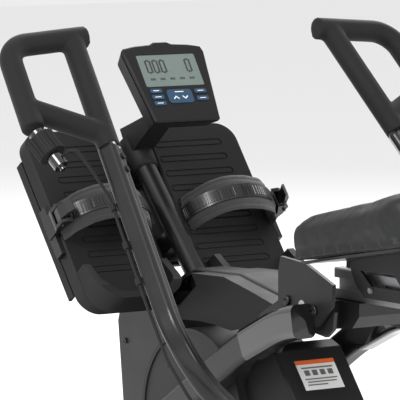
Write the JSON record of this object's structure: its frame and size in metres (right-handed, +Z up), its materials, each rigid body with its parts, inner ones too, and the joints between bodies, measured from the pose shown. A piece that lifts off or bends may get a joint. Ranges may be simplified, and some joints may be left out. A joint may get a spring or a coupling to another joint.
{
  "type": "rowing machine",
  "caption": "Folding magnetic rowing machine with swinging multi-grip arms, a rolling seat on a rail, strapped foot plates and a console.",
  "frame": {"origin": "on the floor, at the middle of the length and width of the machine", "axes": "+Z up, +Y from the seat towards the foot plates, +X to the rower's right"},
  "size_m": [0.7794, 1.5, 0.7668],
  "materials": {
    "steel_black": "satin powder coat",
    "tube_grey": "satin powder coat",
    "hinge_grey": "satin powder coat",
    "plastic_black": "fine texture",
    "plastic_charcoal": "fine texture",
    "disc_grey": "satin",
    "gloss_black": "glossy",
    "rubber": "matte",
    "foam": "matte foam",
    "vinyl": "grained vinyl",
    "strap_fabric": "woven",
    "strap_plastic": "satin",
    "zinc": "brushed",
    "chrome_steel": "polished",
    "cast": "machined",
    "aluminium": "anodised",
    "blue": "satin",
    "lens": "clear",
    "roller_grey": "smooth nylon"
  },
  "bodies": {
    "base": {"belt": "rubber", "buckle_bases": "zinc", "chassis_plates": "steel_black", "console_neck": "plastic_black", "disc_covers": "disc_grey", "floor_feet": "rubber", "flywheel_axle": "zinc", "fold_pin": "zinc", "foot_plate_left": "plastic_black", "foot_plate_right": "plastic_black", "heel_cups": "plastic_black", "hinge_plates": "hinge_grey", "housing_left": "plastic_charcoal", "housing_right": "plastic_charcoal", "keel": "steel_black", "ladder_straps": "strap_plastic", "magnet_yoke": "zinc", "mast": "steel_black", "plate_bracket": "steel_black", "rear_cover": "plastic_black", "side_tubes": "tube_grey", "stabilizers": "steel_black", "strap_pads": "strap_fabric", "top_shroud": "plastic_black", "tube_sleeves": "gloss_black"},
    "wheels": {"transport_wheels": "rubber"},
    "lever_l": {"lever_left": "strap_plastic"},
    "lever_r": {"lever_right": "strap_plastic"},
    "console": {"console_face": "plastic_black", "console_lens": "lens", "console_rear": "plastic_black"},
    "arms": {"arm_fittings": "plastic_black", "arm_left": "steel_black", "arm_right": "steel_black", "arm_shaft": "zinc", "cable": "rubber", "handle_left": "foam", "handle_right": "foam", "knob_mount": "gloss_black"},
    "knob": {"resistance_knob": "plastic_black"},
    "flywheel_body": {"flywheel": "cast"},
    "rail_body": {"rail": "aluminium", "rail_head": "tube_grey", "rail_stops": "rubber", "rear_feet": "rubber", "rear_leg": "steel_black"},
    "seat": {"carriage": "hinge_grey", "cushion": "vinyl", "seat_pan": "tube_grey"},
    "groove_pair_1": {"groove_rollers_1": "roller_grey"},
    "groove_pair_2": {"groove_rollers_2": "roller_grey"},
    "roller_1": {"top_roller_1": "roller_grey"},
    "roller_2": {"top_roller_2": "roller_grey"},
    "lock": {"lock_pin": "steel_black"},
    "b_left_top": {"button_left_top": "blue"},
    "b_left_middle": {"button_left_middle": "blue"},
    "b_left_low": {"button_left_low": "blue"},
    "b_right_top": {"button_right_top": "blue"},
    "b_right_low": {"button_right_low": "blue"},
    "b_centre": {"button_centre": "blue"}
  },
  "joints": [
    {"name": "arm_swing", "type": "hinge", "parent": "base", "child": "arms", "pos_m": [0, 0.15, 0.16], "axis": [1, 0, 0], "range_deg": [0, 50]},
    {"name": "flywheel_spin", "type": "hinge", "parent": "base", "child": "flywheel_body", "pos_m": [0, 0.384, 0.176], "axis": [1, 0, 0], "range_deg": [-5, 90]},
    {"name": "resistance_turn", "type": "hinge", "parent": "arms", "child": "knob", "pos_m": [-0.37283, 0.35641, 0.62678], "axis": [0.2199, -0.6797, -0.6997], "range_deg": [0, 270]},
    {"name": "console_tilt", "type": "hinge", "parent": "base", "child": "console", "pos_m": [0, 0.56256, 0.61929], "axis": [1, 0, 0], "range_deg": [-12, 15]},
    {"name": "lever_left_open", "type": "hinge", "parent": "base", "child": "lever_l", "pos_m": [-0.206, 0.55086, 0.47492], "axis": [0, -0.6129, -0.7902], "range_deg": [0, 70]},
    {"name": "lever_right_open", "type": "hinge", "parent": "base", "child": "lever_r", "pos_m": [0.206, 0.55086, 0.47492], "axis": [0, 0.6129, 0.7902], "range_deg": [0, 70]},
    {"name": "rail_fold", "type": "hinge", "parent": "base", "child": "rail_body", "pos_m": [0, 0.094, 0.376], "axis": [-1, 0, 0], "range_deg": [0, 78]},
    {"name": "seat_slide", "type": "slide", "parent": "rail_body", "child": "seat", "axis": [0, -1, 0], "range_m": [0, 0.47]},
    {"name": "groove_pair_1_roll", "type": "hinge", "parent": "seat", "child": "groove_pair_1", "pos_m": [0, -0.03, 0.408], "axis": [1, 0, 0], "range_deg": [-30, 3600]},
    {"name": "groove_pair_2_roll", "type": "hinge", "parent": "seat", "child": "groove_pair_2", "pos_m": [0, -0.2, 0.408], "axis": [1, 0, 0], "range_deg": [-30, 3600]},
    {"name": "roller_1_roll", "type": "hinge", "parent": "seat", "child": "roller_1", "pos_m": [0, -0.06, 0.4452], "axis": [1, 0, 0], "range_deg": [-30, 2000]},
    {"name": "roller_2_roll", "type": "hinge", "parent": "seat", "child": "roller_2", "pos_m": [0, -0.17, 0.4452], "axis": [1, 0, 0], "range_deg": [-30, 2000]},
    {"name": "lock_pull", "type": "slide", "parent": "base", "child": "lock", "axis": [1, 0, 0], "range_m": [0, 0.01], "stiffness_N_per_m": 500},
    {"name": "wheels_roll", "type": "hinge", "parent": "base", "child": "wheels", "pos_m": [0, 0.731, 0.026], "axis": [1, 0, 0], "continuous": true},
    {"name": "button_left_top_press", "type": "slide", "parent": "console", "child": "b_left_top", "axis": [0, 0.8271, -0.5621], "range_m": [0, 0.0012], "stiffness_N_per_m": 600},
    {"name": "button_left_middle_press", "type": "slide", "parent": "console", "child": "b_left_middle", "axis": [0, 0.8271, -0.5621], "range_m": [0, 0.0012], "stiffness_N_per_m": 600},
    {"name": "button_left_low_press", "type": "slide", "parent": "console", "child": "b_left_low", "axis": [0, 0.8271, -0.5621], "range_m": [0, 0.0012], "stiffness_N_per_m": 600},
    {"name": "button_right_top_press", "type": "slide", "parent": "console", "child": "b_right_top", "axis": [0, 0.8271, -0.5621], "range_m": [0, 0.0012], "stiffness_N_per_m": 600},
    {"name": "button_right_low_press", "type": "slide", "parent": "console", "child": "b_right_low", "axis": [0, 0.8271, -0.5621], "range_m": [0, 0.0012], "stiffness_N_per_m": 600},
    {"name": "button_centre_press", "type": "slide", "parent": "console", "child": "b_centre", "axis": [0, 0.8271, -0.5621], "range_m": [0, 0.0012], "stiffness_N_per_m": 600}
  ],
  "couplings": [
    {"joint": "flywheel_spin", "follows": "arm_swing", "ratio": 1.7059},
    {"joint": "groove_pair_1_roll", "follows": "seat_slide", "rad_per_m": 128.21},
    {"joint": "groove_pair_2_roll", "follows": "seat_slide", "rad_per_m": 128.21},
    {"joint": "roller_1_roll", "follows": "seat_slide", "rad_per_m": 71.429},
    {"joint": "roller_2_roll", "follows": "seat_slide", "rad_per_m": 71.429}
  ]
}
